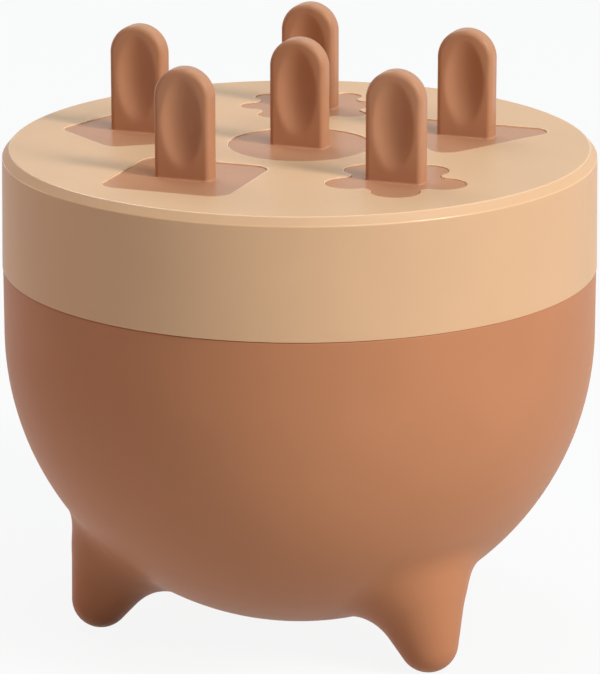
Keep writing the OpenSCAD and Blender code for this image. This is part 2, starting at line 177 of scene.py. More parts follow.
class Skin:
    """Gathers the points and faces of one mesh, in millimetres."""

    def __init__(self) -> None:
        """Starts an empty mesh."""
        self.blocks: list[np.ndarray] = []
        self.count = 0
        self.faces: list[tuple[int, ...]] = []

    def points(self) -> np.ndarray:
        """Returns all the points so far."""
        return np.concatenate(self.blocks)

    def ring(self, points: np.ndarray) -> Ring:
        """Adds points.

        Args:
            points: Points of one ring or line.

        Returns:
            Their numbers.
        """
        self.blocks.append(np.asarray(points, dtype=float))
        numbers = np.arange(self.count, self.count + len(points))
        self.count += len(points)
        return numbers

    def flat_ring(self, outline: np.ndarray, height: float) -> Ring:
        """Adds an outline at one height and returns its numbers."""
        return self.ring(np.column_stack([outline, np.full(len(outline), height)]))

    def strip(self, first: Ring, second: Ring, closed: bool) -> None:
        """Joins two rings with four-sided faces.

        Args:
            first: Ring that the surface comes from; both run anticlockwise.
            second: Ring that it goes to.
            closed: Whether the last point joins the first one.
        """
        size = len(first)
        for i in range(size if closed else size - 1):
            k = (i + 1) % size
            self.faces.append((int(first[i]), int(first[k]), int(second[k]), int(second[i])))

    def chain(self, rings: Iterable[Ring], closed: bool = True) -> None:
        """Joins each ring to the next one.

        Args:
            rings: The rings or lines, in order.
            closed: Whether they are rings.
        """
        rings = list(rings)
        for first, second in zip(rings, rings[1:]):
            self.strip(first, second, closed)

    def fill(self, border: Ring, holes: Sequence[Ring], normal: tuple[int, int, int]) -> None:
        """Fills a flat border, round its holes.

        Args:
            border: Numbers of the border.
            holes: Numbers of each hole's edge.
            normal: The side that the faces look to, along an axis.
        """
        axis = int(np.argmax(np.abs(normal)))
        first, second = [(1, 2), (2, 0), (0, 1)][axis]
        all_points = self.points()
        loops = [border, *holes]
        numbers = np.concatenate(loops)
        flat = [[Vector((all_points[i][first], all_points[i][second], 0)) for i in loop] for loop in loops]
        joined = [point for loop in flat for point in loop]
        for a, b, c in tessellate_polygon(flat):
            area = (joined[b] - joined[a]).cross(joined[c] - joined[a]).z * normal[axis]
            order = (a, b, c) if area > 0 else (a, c, b)
            self.faces.append(tuple(int(numbers[i]) for i in order))

    def make(self, name: str) -> bpy.types.Object:
        """Makes the object, in metres.

        Args:
            name: Name of the object.

        Returns:
            The object, smooth with its sharp edges kept and the steps of its rounded edges marked.
        """
        mesh = bpy.data.meshes.new(name)
        mesh.from_pydata((self.points() * MM).tolist(), [], self.faces)
        work = bmesh.new()
        work.from_mesh(mesh)
        bmesh.ops.remove_doubles(work, verts=work.verts, dist=WELD * MM)
        bmesh.ops.dissolve_degenerate(work, edges=work.edges, dist=SLIVER * MM)
        bmesh.ops.recalc_face_normals(work, faces=work.faces)
        mark = work.faces.layers.float.new(EDGE_MARK)
        for face in work.faces:
            face.smooth = True
            face[mark] = float(self._on_round(face))
        work.to_mesh(mesh)
        work.free()
        mesh.set_sharp_from_angle(angle=SHARP_BEND)
        piece = bpy.data.objects.new(name, mesh)
        bpy.context.scene.collection.objects.link(piece)
        even = piece.modifiers.new("even_normals", "WEIGHTED_NORMAL")
        even.keep_sharp = True
        return piece

    @staticmethod
    def _on_round(face: bmesh.types.BMFace) -> bool:
        """Tells whether a face is a narrow step of an edge that is rounded outwards."""
        narrow = min(edge.calc_length() for edge in face.edges) < EDGE_STEP
        return narrow and max(edge.calc_face_angle_signed(0.0) for edge in face.edges) > EDGE_BEND


@dataclass(frozen=True)
class SatinPlastic:
    """Moulded plastic with a fine satin grain.

    Attributes:
        name: Name of the material.
        colour: Colour as sRGB from 0 to 255.
        roughness: Mean roughness.
        shine: Strength of its mirror light, 0.5 for common plastic.
        polish: Share of the roughness that is left on rounded edges, which handling polishes.
        pale: How much paler those edges are painted, a painted highlight along the rounded edges.
        spread: How far the roughness strays to each side.
        drift: How far the colour strays to each side, from place to place.
        drift_range: Heights of the noise at which the colour has strayed to the full.
        drift_scale: How close the colour's clouds lie.
        grain: Height of the fine grain, in millimetres.
        grain_scale: How close the grain lies.
        ripple: Height of the soft flow ripple, in millimetres.
        ripple_scale: How close the ripple lies.
    """

    name: str
    colour: tuple[int, int, int]
    roughness: float
    shine: float
    polish: float = 1.0
    pale: float = 0.0
    spread: float = 0.05
    drift: float = 0.03
    drift_range: tuple[float, float] = (0.3, 0.7)
    drift_scale: float = 28.0
    grain: float = 0.004
    grain_scale: float = 900.0
    ripple: float = 0.012
    ripple_scale: float = 75.0

    def material(self) -> bpy.types.Material:
        """Builds the material.

        Returns:
            The material with its nodes.
        """
        material = bpy.data.materials.new(self.name)
        material.use_nodes = True
        tree = material.node_tree
        shader = tree.nodes["Principled BSDF"]
        place = tree.nodes.new("ShaderNodeTexCoord")
        speck = self._noise(tree, place, self.grain_scale)
        rough = tree.nodes.new("ShaderNodeMapRange")
        rough.inputs["To Min"].default_value = self.roughness - self.spread
        rough.inputs["To Max"].default_value = self.roughness + self.spread
        tree.links.new(speck.outputs["Fac"], rough.inputs["Value"])
        colour, gloss = self._drifting(tree, place), rough.outputs["Result"]
        if self.polish < 1:
            colour, gloss = self._polish_with_painted_highlight(tree, colour, gloss)
        tree.links.new(colour, shader.inputs["Base Color"])
        tree.links.new(gloss, shader.inputs["Roughness"])
        shader.inputs["Specular IOR Level"].default_value = self.shine
        grain = self._bump(tree, speck, self.grain)
        ripple = self._bump(tree, self._noise(tree, place, self.ripple_scale), self.ripple)
        tree.links.new(grain.outputs["Normal"], ripple.inputs["Normal"])
        tree.links.new(ripple.outputs["Normal"], shader.inputs["Normal"])
        return material

    def _shade(self, share: float) -> list[float]:
        """Returns the colour in linear light, times a share."""
        return [min(channel * share, 1) for channel in linear(*self.colour)[:3]] + [1]

    def _drifting(self, tree: bpy.types.NodeTree, place: bpy.types.Node) -> bpy.types.NodeSocket:
        """Lets the colour stray a little from place to place.

        Args:
            tree: The node tree.
            place: Node with the coordinates.

        Returns:
            The socket with the colour.
        """
        cloud = self._noise(tree, place, self.drift_scale, detail=3.0)
        colours = tree.nodes.new("ShaderNodeValToRGB")
        shares = (1 - self.drift, 1 + self.drift)
        for element, height, share in zip(colours.color_ramp.elements, self.drift_range, shares):
            element.position = height
            element.color = self._shade(share)
        tree.links.new(cloud.outputs["Fac"], colours.inputs["Fac"])
        return colours.outputs["Color"]

    def _polish_with_painted_highlight(self, tree: bpy.types.NodeTree, colour: bpy.types.NodeSocket,
              gloss: bpy.types.NodeSocket) -> tuple[bpy.types.NodeSocket, bpy.types.NodeSocket]:
        """Polishes the rounded edges and paints a highlight on them as a paler colour.

        Args:
            tree: The node tree.
            colour: Socket with the colour.
            gloss: Socket with the roughness.

        Returns:
            The sockets with the new colour and roughness.
        """
        edges = tree.nodes.new("ShaderNodeAttribute")
        edges.attribute_name = EDGE_MARK
        left = tree.nodes.new("ShaderNodeMapRange")
        left.inputs["To Min"].default_value = 1.0
        left.inputs["To Max"].default_value = self.polish
        tree.links.new(edges.outputs["Fac"], left.inputs["Value"])
        rough = tree.nodes.new("ShaderNodeMath")
        rough.operation = "MULTIPLY"
        tree.links.new(gloss, rough.inputs[0])
        tree.links.new(left.outputs["Result"], rough.inputs[1])
        # Painted highlight: the marked rounded edges take a paler colour.
        painted_highlight = tree.nodes.new("ShaderNodeMix")
        painted_highlight.data_type = "RGBA"
        painted_highlight.inputs["B"].default_value = self._shade(1 + self.pale)
        tree.links.new(edges.outputs["Fac"], painted_highlight.inputs["Factor"])
        tree.links.new(colour, painted_highlight.inputs["A"])
        return painted_highlight.outputs["Result"], rough.outputs[0]

    @staticmethod
    def _noise(tree: bpy.types.NodeTree, place: bpy.types.Node, scale: float,
               detail: float = 2.0) -> bpy.types.Node:
        """Adds a noise in object space.

        Args:
            tree: The node tree.
            place: Node with the coordinates.
            scale: How close its clouds lie.
            detail: How many finer layers it has.

        Returns:
            Its node.
        """
        noise = tree.nodes.new("ShaderNodeTexNoise")
        noise.inputs["Scale"].default_value = scale
        noise.inputs["Detail"].default_value = detail
        tree.links.new(place.outputs["Object"], noise.inputs["Vector"])
        return noise

    @staticmethod
    def _bump(tree: bpy.types.NodeTree, noise: bpy.types.Node, height: float) -> bpy.types.Node:
        """Adds a bump.

        Args:
            tree: The node tree.
            noise: Noise that gives its form.
            height: Its height, in millimetres.

        Returns:
            Its node.
        """
        bump = tree.nodes.new("ShaderNodeBump")
        bump.inputs["Distance"].default_value = height * MM
        tree.links.new(noise.outputs["Fac"], bump.inputs["Height"])
        return bump


TERRACOTTA = SatinPlastic("terracotta_satin", (191, 129, 92), roughness=0.47, shine=0.14)
# The cream's pale setting paints a highlight along the tray's rounded edges.
CREAM = SatinPlastic("cream_satin", (217, 174, 135), roughness=0.48, shine=0.38, polish=0.5, pale=0.14)
COCOA = SatinPlastic("cocoa_satin", (190, 136, 103), roughness=0.3, shine=0.13)


def dress(piece: bpy.types.Object, finish: SatinPlastic, nodes: Sequence[str]) -> None:
    """Gives a piece its finish and its place in the frame.

    Args:
        piece: The object.
        finish: Its finish.
        nodes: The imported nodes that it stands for.
    """
    known = bpy.data.materials.get(finish.name)
    piece.data.materials.append(known or finish.material())
    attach(piece, BODY)
    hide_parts(*nodes)
    LOG.info("%s: %d faces, %s", piece.name, len(piece.data.polygons), finish.name)


class CellShape(Enum):
    """Outline of a cell and of the cap in it."""

    CIRCLE = "circle"
    TRIANGLE = "triangle"
    FLOWER = "flower"
    PENTAGON = "pentagon"
    SQUARE = "square"
    STAR = "star"


@dataclass(frozen=True)
class Disc:
    """Round outline; its radius in millimetres."""

    tip_r: float
    steps: int = 144

    def points(self, grow: float) -> np.ndarray:
        """Returns its points, anticlockwise, with a margin to the outside."""
        return (self.tip_r + grow) * on_circle(np.arange(self.steps) * 360 / self.steps)


@dataclass(frozen=True)
class Polygon:
    """Polygon with rounded corners.

    Attributes:
        sides: Number of its sides.
        tip_r: Radius to the outermost points of its corners, in millimetres.
        first: Direction of its first corner, in degrees.
        corner_r: Round of its corners, in millimetres.
        corner_steps: Steps in all its rounds together.
        side_steps: Steps along each side.
    """

    sides: int
    tip_r: float
    first: float
    corner_r: float = 4.5
    corner_steps: int = 84
    side_steps: int = 7

    def points(self, grow: float) -> np.ndarray:
        """Draws the outline, with as many points for every margin.

        Args:
            grow: Margin to the outside.

        Returns:
            Its points, anticlockwise.
        """
        turn, corners = 360 / self.sides, []
        for angle in self.first + turn * np.arange(self.sides):
            corners.append(arc((self.tip_r - self.corner_r) * heading(angle), self.corner_r + grow,
                               angle - turn / 2, angle + turn / 2, self.corner_steps // self.sides))
        points = []
        for corner, after in zip(corners, corners[1:] + corners[:1]):
            side = corner[-1] + (after[0] - corner[-1]) * between(self.side_steps)[:, None]
            points += [corner, side]
        return np.concatenate(points)


@dataclass(frozen=True)
class Lobed:
    """Round lobes joined by round notches.

    Attributes:
        lobes: Number of its lobes.
        tip_r: Radius to their tips, in millimetres.
        notch_r: Radius to the deepest points of the notches, in millimetres.
        lobe_r: Round of a lobe, in millimetres.
        first: Direction of the first lobe, in degrees.
        lobe_steps: Steps in all lobes together.
        notch_steps: Steps in all notches together.
    """

    lobes: int
    tip_r: float
    notch_r: float
    lobe_r: float
    first: float
    lobe_steps: int = 120
    notch_steps: int = 60

    def points(self, grow: float) -> np.ndarray:
        """Draws the outline, with as many points for every margin.

        Args:
            grow: Margin to the outside.

        Returns:
            Its points, anticlockwise.
        """
        turn = 360 / self.lobes
        half, out, sink = math.radians(turn / 2), self.tip_r - self.lobe_r, self.lobe_r - self.notch_r
        notch_out = (out * out - sink * sink) / (2 * (out * math.cos(half) + sink))
        swing = math.degrees(math.atan2(notch_out * math.sin(half), notch_out * math.cos(half) - out))
        points = []
        for angle in self.first + turn * np.arange(self.lobes):
            points.append(arc(out * heading(angle), self.lobe_r + grow, angle - swing, angle + swing,
                              self.lobe_steps // self.lobes))
            notch = arc(notch_out * heading(angle + turn / 2), notch_out - self.notch_r - grow,
                        angle + swing + 180, angle + turn - swing + 180, self.notch_steps // self.lobes)
            points.append(notch[1:-1])
        return np.concatenate(points)


@dataclass(frozen=True)
class Levels:
    """Heights and clearances that the pieces share, in millimetres."""

    belly_z: float = 82.8
    seam_z: float = 101.3
    top_z: float = 133.5
    cap_t: float = 3.0
    cap_gap: float = 0.3


@dataclass(frozen=True)
class Outlines:
    """The six outlines, and the ring in which their cells hang.

    Attributes:
        circle: Outline of the cell in the middle; the others lie round it, in the order given here.
        ring_r: Radius of the ring of cells, in millimetres.
        ring_turn: Direction of the ring's first cell, in degrees.
        cell_turn: Turn of every cell in its own place, in degrees.
    """

    circle: Disc = Disc(18.8)
    triangle: Polygon = Polygon(3, 21.8, first=-90)
    flower: Lobed = Lobed(8, 19.0, 14.4, 3.8, first=22.5)
    pentagon: Polygon = Polygon(5, 20.3, first=-90)
    square: Polygon = Polygon(4, 22.4, first=45)
    star: Lobed = Lobed(5, 18.6, 12.0, 6.0, first=0)
    ring_r: float = 46.5
    ring_turn: float = 14.4
    cell_turn: float = -20.0

    def outline(self, shape: CellShape) -> Disc | Polygon | Lobed:
        """Returns the outline of a shape."""
        return getattr(self, shape.value)

    def reach(self, shape: CellShape) -> float:
        """Returns the radius to the outline's furthest point."""
        return self.outline(shape).tip_r

    def points(self, shape: CellShape, grow: float = 0.0) -> np.ndarray:
        """Returns an outline's points, anticlockwise, with a margin to the outside."""
        return self.outline(shape).points(grow)

    def seat(self, shape: CellShape) -> np.ndarray:
        """Finds the middle of a shape's cell.

        Args:
            shape: The cell.

        Returns:
            Its place, seen from above.
        """
        number = list(CellShape).index(shape)
        if number == 0:
            return np.zeros(2)
        turn = 360 / (len(CellShape) - 1)
        return self.ring_r * heading(self.ring_turn + turn * (number - 1))

    def placed(self, points: np.ndarray, shape: CellShape, top_z: float) -> np.ndarray:
        """Moves points from a cell's own place to the mold.

        Args:
            points: Points with the cell's middle and the tray's top as zero.
            shape: The cell.
            top_z: Height of the tray's top.

        Returns:
            The points in the mold.
        """
        result = turned(points, self.cell_turn)
        return result + np.array([*self.seat(shape), top_z])


@dataclass(frozen=True)
class StandBowl:
    """Round bowl on three legs that melt into its belly; sizes in millimetres.

    A leg is a leaning cone with a ball at its tip. Its foot is cut flat, so that the bowl stands.

    Attributes:
        neck_root: How far under the seam the neck's inside begins to widen.
        side_foot: Height over the belly of the first ring on the straight side.
        side_top: Depth under the seam of the last one.
        leg_reach: Distance of the ball from the bowl's axis.
        tip_r: Radius of the ball and of the cone's tip.
        root_r: Radius of the cone's root.
        lean: How far the root lies nearer to the bowl's axis than the ball.
        root_h: Height of the root over the ball.
        blend: How far from the crease between leg and belly their blend starts.
        leg_turn: Direction of the first leg, in degrees.
        arc_steps: Steps along the top of one third.
        fall_steps: Steps from that top down to the bottom.
        belly_crowding: How much closer the rings lie near the leg, 1 for even ones.
        settle_rounds: How often points are moved towards the skin.
        probe: Step over which the skin's slope is measured.
    """

    levels: Levels
    radius: float = 79.8
    wall: float = 2.4
    neck_h: float = 9.0
    neck_r: float = 77.3
    neck_in_r: float = 75.1
    neck_root: float = 1.0
    rim_round: float = 0.55
    rim_steps: int = 6
    side_foot: float = 6.0
    side_top: float = 2.0
    leg_reach: float = 55.0
    tip_r: float = 8.0
    root_r: float = 13.3
    lean: float = 5.5
    root_h: float = 13.4
    blend: float = 9.6
    foot_flat_r: float = 2.5
    leg_turn: float = 188.5
    arc_steps: int = 72
    fall_steps: int = 32
    tip_steps: int = 9
    leg_steps: int = 18
    belly_steps: int = 26
    belly_crowding: float = 1.25
    settle_rounds: int = 8
    probe: float = 0.02

    def tip(self) -> np.ndarray:
        """Returns the middle of the ball at the leg's tip."""
        return np.array([self.leg_reach, 0, math.sqrt(self.tip_r ** 2 - self.foot_flat_r ** 2)])

    def leg_length(self) -> float:
        """Returns the length of the leg's axis."""
        return math.hypot(self.lean, self.root_h)

    def leg_axes(self) -> tuple[np.ndarray, np.ndarray, np.ndarray]:
        """Returns the leg's directions: along it, outwards and to its side."""
        length = self.leg_length()
        return (np.array([-self.lean, 0, self.root_h]) / length,
                np.array([self.root_h, 0, self.lean]) / length, np.array([0.0, 1.0, 0.0]))

    def flare(self) -> tuple[float, float]:
        """Returns the sine and the cosine of the angle between the leg's side and its axis."""
        sine = (self.root_r - self.tip_r) / self.leg_length()
        return sine, math.sqrt(1 - sine * sine)

    def gap(self, p: np.ndarray) -> np.ndarray:
        """Measures how far points lie outside the skin, with the leg blended into the belly.

        Args:
            p: Points, xyz in the last axis.

        Returns:
            Their distances, in millimetres.
        """
        plan = np.hypot(p[..., 0], p[..., 1])
        rise = p[..., 2] - self.levels.belly_z
        belly = np.where(rise > 0, plan, np.hypot(plan, rise)) - self.radius
        axis, length = self.leg_axes()[0], self.leg_length()
        sine, cosine = self.flare()
        w = p - self.tip()
        y = w @ axis
        x = np.sqrt(np.maximum((w * w).sum(-1) - y * y, 0))
        q = cosine * y + sine * x
        leg = np.where(q < 0, np.hypot(x, y) - self.tip_r,
                       np.where(q > cosine * length, np.hypot(x, y - length) - self.root_r,
                                x * cosine - y * sine - self.tip_r))
        near = np.maximum(self.blend - np.abs(belly - leg), 0)
        return np.minimum(belly, leg) - near ** 2 / (4 * self.blend)

    def settled(self, p: np.ndarray, deep: float) -> np.ndarray:
        """Moves points straight to the skin, or to a depth under it.

        Args:
            p: Points near the skin.
            deep: Depth under it.

        Returns:
            The points on it.
        """
        for _ in range(self.settle_rounds):
            here = self.gap(p)
            ahead = [self.gap(p + self.probe * direction) for direction in np.eye(3)]
            slope = np.stack([there - here for there in ahead], axis=-1) / self.probe
            p = p - slope * ((here + deep) / (slope ** 2).sum(-1))[..., None]
        return p

    def edge_dirs(self) -> np.ndarray:
        """Follows the edge of one third of the belly, along its top and down and up its two sides.

        Returns:
            The directions from the belly's middle to that edge.
        """
        half, fall = self.arc_steps // 2, self.fall_steps
        along = THIRD / 2 * np.arange(half + 1) / half
        drop = 90 * np.arange(fall + 1) / fall
        side = np.concatenate([along, np.full(fall, THIRD / 2), np.full(fall, -THIRD / 2), -along[-2:0:-1]])
        down = np.concatenate([0 * along, drop[1:], drop[-2::-1], 0 * along[1:-1]])
        level = on_circle(side) * np.cos(np.radians(down))[:, None]
        return np.column_stack([level, -np.sin(np.radians(down))])

    def third(self, deep: float) -> list[np.ndarray]:
        """Draws one third of the skin as rings, from the foot's middle out to the edge.

        Each line of it starts on the ball, runs up the cone to the belly and goes on to the edge.

        Args:
            deep: Depth under the outer skin.

        Returns:
            The rings.
        """
        axis, out, side = self.leg_axes()
        sine, cosine = self.flare()
        tip, middle, edge = self.tip(), np.array([0, 0, self.levels.belly_z]), self.edge_dirs()
        to_edge = middle + self.radius * edge - tip
        angle = np.arctan2(to_edge @ side, to_edge @ out)
        away = np.cos(angle)[:, None] * out + np.sin(angle)[:, None] * side
        start = tip + self.tip_r * (cosine * away - sine * axis)
        run = sine * away + cosine * axis
        length = self._to_belly(start - middle, run)
        foot, flat = self._foot(angle, deep)
        rings = [foot, (flat + foot) / 2, flat]
        low, high = unit(flat - tip), unit(start - tip)
        for part in between(self.tip_steps):
            rings.append(self.settled(tip + self.tip_r * unit(low + (high - low) * part), deep))
        for part in np.linspace(0, 1, self.leg_steps + 1):
            rings.append(self.settled(start + run * (length * part)[:, None], deep))
        belly = unit(start + run * length[:, None] - middle)
        for part in between(self.belly_steps) ** self.belly_crowding:
            rings.append(self.settled(middle + self.radius * unit(belly + (edge - belly) * part), deep))
        rings.append(middle + (self.radius - deep) * edge)
        return rings

    def _to_belly(self, offset: np.ndarray, run: np.ndarray) -> np.ndarray:
        """Measures how far lines run until they enter the belly's ball.

        Args:
            offset: Starts of the lines, from the belly's middle.
            run: Their directions.

        Returns:
            Their lengths up to the ball.
        """
        along = (offset * run).sum(-1)
        return -along - np.sqrt(along * along - (offset ** 2).sum(-1) + self.radius ** 2)

    def _foot(self, angle: np.ndarray, deep: float) -> tuple[np.ndarray, np.ndarray]:
        """Draws the flat under the leg.

        Args:
            angle: Directions round the leg, in radians.
            deep: Depth under the outer skin.

        Returns:
            The ring drawn together in its middle, and the ring round it.
        """
        fall = math.asin(self.foot_flat_r / self.tip_r)
        down = np.full(len(angle), -math.cos(fall))
        away = np.column_stack([math.sin(fall) * np.cos(angle), math.sin(fall) * np.sin(angle), down])
        flat = self.tip() + (self.tip_r - deep) * away
        middle = np.array([self.leg_reach, 0, flat[0][2]])
        return np.tile(middle, (len(angle), 1)), flat

    def rim_path(self) -> list[tuple[float, float]]:
        """Draws the section from the belly up the straight side, over the neck and down inside it.

        Returns:
            The points of the section.
        """
        seam, belly, inner = self.levels.seam_z, self.levels.belly_z, self.radius - self.wall
        root, neck_top = seam - self.neck_root, seam + self.neck_h
        return rounded([(self.radius, belly, 0), (self.radius, belly + self.side_foot, 0),
                        (self.radius, seam - self.side_top, 0), (self.radius, seam, self.rim_round),
                        (self.neck_r, seam, 0), (self.neck_r, neck_top, self.rim_round),
                        (self.neck_in_r, neck_top, self.rim_round), (self.neck_in_r, root, 0),
                        (inner, root - inner + self.neck_in_r, 0), (inner, belly, 0)], self.rim_steps)

    def build(self) -> bpy.types.Object:
        """Builds the bowl as one closed mesh.

        Returns:
            The object.
        """
        skin = Skin()
        for deep in (0.0, self.wall):
            rings = self.third(deep)
            for leg in range(LEGS):
                numbers = [skin.ring(turned(ring, leg * THIRD)) for ring in rings]
                skin.chain(reversed(numbers) if deep else numbers)
        around = on_circle(np.arange(LEGS * self.arc_steps) * THIRD / self.arc_steps)
        skin.chain([skin.flat_ring(around * r, z) for r, z in self.rim_path()])
        skin.blocks = [turned(skin.points(), self.leg_turn)]
        return skin.make("three_legged_bowl")

    def add(self) -> None:
        """Builds the bowl and dresses it."""
        dress(self.build(), TERRACOTTA, ["bowl"])


@dataclass(frozen=True)
class CellTray:
    """Tray that closes the bowl and carries the six cells; sizes in millimetres.

    Attributes:
        plate_edge: Way from the skirt to where the filled part of the plate's underside begins.
        top_edge: Way from the bevel to where the filled part of the top begins.
        mouth_edge: The same from a recess.
        ledge_corner: Soft corner between recess and ledge, as (inwards, upwards).
        box_corner: The same under the plate.
        floor_parts: Rings on a cell's floor, as shares of its radius.
    """

    levels: Levels
    outlines: Outlines
    radius: float = 79.97
    skirt_wall: float = 2.4
    skirt_draw: float = 0.45
    skirt_foot_r: float = 0.15
    inner_draw: float = 1.0
    inner_round: float = 3.0
    bevel_w: float = 1.9
    bevel_h: float = 2.2
    bevel_round: float = 0.7
    plate_t: float = 2.6
    plate_edge: float = 6.0
    top_edge: float = 1.2
    mouth_edge: float = 0.25
    cell_depth: float = 75.0
    cell_wall: float = 1.6
    cell_draft: float = 1.0
    cell_foot_r: float = 2.5
    ledge_w: float = 2.0
    ledge_t: float = 1.6
    ledge_corner: tuple[tuple[float, float], ...] = ((0.0, 0.25), (0.08, 0.06), (0.25, 0.0))
    box_corner: tuple[tuple[float, float], ...] = ((0.0, 0.3), (0.1, 0.08), (0.3, 0.0))
    recess_wall: float = 1.4
    recess_round: float = 0.3
    floor_parts: tuple[float, ...] = (0.6, 0.25, 0.0)
    around_steps: int = 240
    round_steps: int = 8
    wall_rings: int = 5

    def shell_path(self) -> list[tuple[float, float]]:
        """Draws the section of the plate's edge, the skirt and the bevel, from under the plate to its top.

        Returns:
            The points of the section.
        """
        seam, top, inside = self.levels.seam_z, self.levels.top_z, self.radius - self.skirt_wall
        upper, under, plate_r = self.radius - self.skirt_draw, top - self.plate_t, inside - self.inner_draw
        return rounded([(plate_r - self.plate_edge, under, 0), (plate_r, under, self.inner_round),
                        (inside, seam, 0), (self.radius, seam, self.skirt_foot_r),
                        (upper, top - self.bevel_h, self.bevel_round),
                        (upper - self.bevel_w, top, self.bevel_round),
                        (upper - self.bevel_w - self.top_edge, top, 0)], self.round_steps)

    def share(self, shape: CellShape, down: float) -> float:
        """Returns a cell's part of its outline at a depth under the ledge."""
        reach = self.outlines.reach(shape)
        return (reach - self.ledge_w - down * math.tan(math.radians(self.cell_draft))) / reach

    def cell_path(self, shape: CellShape, wall: float) -> list[tuple[np.ndarray, float]]:
        """Draws the wall of a cell from its mouth down to its floor.

        Args:
            shape: The cell.
            wall: 0 for the inside, or the wall's thickness for the outside.

        Returns:
            Each ring's outline and its height over the tray's top.
        """
        base, reach, cap_t = self.outlines.points(shape), self.outlines.reach(shape), self.levels.cap_t
        start = cap_t if wall == 0 else cap_t + self.ledge_t
        foot_r, floor = self.cell_foot_r + wall, self.cell_depth + wall
        rings = []
        for depth in np.linspace(start, floor - foot_r, self.wall_rings):
            rings.append((base * (self.share(shape, depth - cap_t) + wall / reach), -depth))
        last = self.share(shape, floor - foot_r - cap_t) + wall / reach
        for angle in quarter(self.round_steps):
            rings.append((base * (last - foot_r * (1 - math.cos(angle)) / reach),
                          -(floor - foot_r + foot_r * math.sin(angle))))
        return rings

    def build(self) -> bpy.types.Object:
        """Builds the tray as one closed mesh.

        Returns:
            The object.
        """
        skin = Skin()
        around = on_circle(np.arange(self.around_steps) * 360 / self.around_steps)
        shell = [skin.flat_ring(around * r, z) for r, z in self.shell_path()]
        skin.chain(shell)
        mouths, roots = [], []
        for shape in CellShape:
            mouths.append(self._inside(skin, shape))
            roots.append(self._outside(skin, shape))
        skin.fill(shell[-1], mouths, (0, 0, 1))
        skin.fill(shell[0], roots, (0, 0, -1))
        return skin.make("six_cell_tray")

    def add(self) -> None:
        """Builds the tray and dresses it."""
        dress(self.build(), CREAM, ["mold_tray"])

    def _rings(self, skin: Skin, shape: CellShape, path: Sequence[tuple[np.ndarray, float]]) -> list[Ring]:
        """Adds rings of a cell at their place in the mold.

        Args:
            skin: The mesh.
            shape: The cell.
            path: Each ring's outline and its height over the tray's top.

        Returns:
            Their numbers.
        """
        rings = []
        for outline, height in path:
            points = np.column_stack([outline, np.full(len(outline), height)])
            rings.append(skin.ring(self.outlines.placed(points, shape, self.levels.top_z)))
        return rings

    def _inside(self, skin: Skin, shape: CellShape) -> Ring:
        """Adds the recess, the ledge and the inside of a cell.

        Args:
            skin: The mesh.
            shape: The cell.

        Returns:
            Its edge on the top.
        """
        grow, round_r, draw = self.levels.cap_gap, self.recess_round, self.outlines.points
        path = [(draw(shape, grow + round_r + self.mouth_edge), 0.0), (draw(shape, grow + round_r), 0.0)]
        for angle in quarter(self.round_steps):
            wider = round_r * (1 - math.sin(angle))
            path.append((draw(shape, grow + wider), -round_r * (1 - math.cos(angle))))
        for inwards, up in self.ledge_corner:
            path.append((draw(shape, grow - inwards), up - self.levels.cap_t))
        path += self.cell_path(shape, 0)
        rings = self._rings(skin, shape, path)
        skin.chain(rings)
        self._close(skin, rings[-1], up=True)
        return rings[0]

    def _outside(self, skin: Skin, shape: CellShape) -> Ring:
        """Adds the outside of a cell under the plate.

        Args:
            skin: The mesh.
            shape: The cell.

        Returns:
            Its edge on the plate's underside.
        """
        grow, draw = self.levels.cap_gap + self.recess_wall, self.outlines.points
        under = -self.levels.cap_t - self.ledge_t
        path = [(draw(shape, grow), -self.plate_t)]
        for inwards, up in self.box_corner:
            path.append((draw(shape, grow - inwards), under + up))
        path += self.cell_path(shape, self.cell_wall)
        rings = self._rings(skin, shape, path)
        skin.chain(reversed(rings))
        self._close(skin, rings[-1], up=False)
        return rings[0]

    def _close(self, skin: Skin, ring: Ring, up: bool) -> None:
        """Closes a cell's floor inside its last ring.

        Args:
            skin: The mesh.
            ring: The last ring.
            up: Whether the floor looks up.
        """
        points = skin.points()[ring]
        middle = points.mean(axis=0)
        rings = [ring] + [skin.ring(middle + (points - middle) * part) for part in self.floor_parts]
        skin.chain(rings if up else reversed(rings))


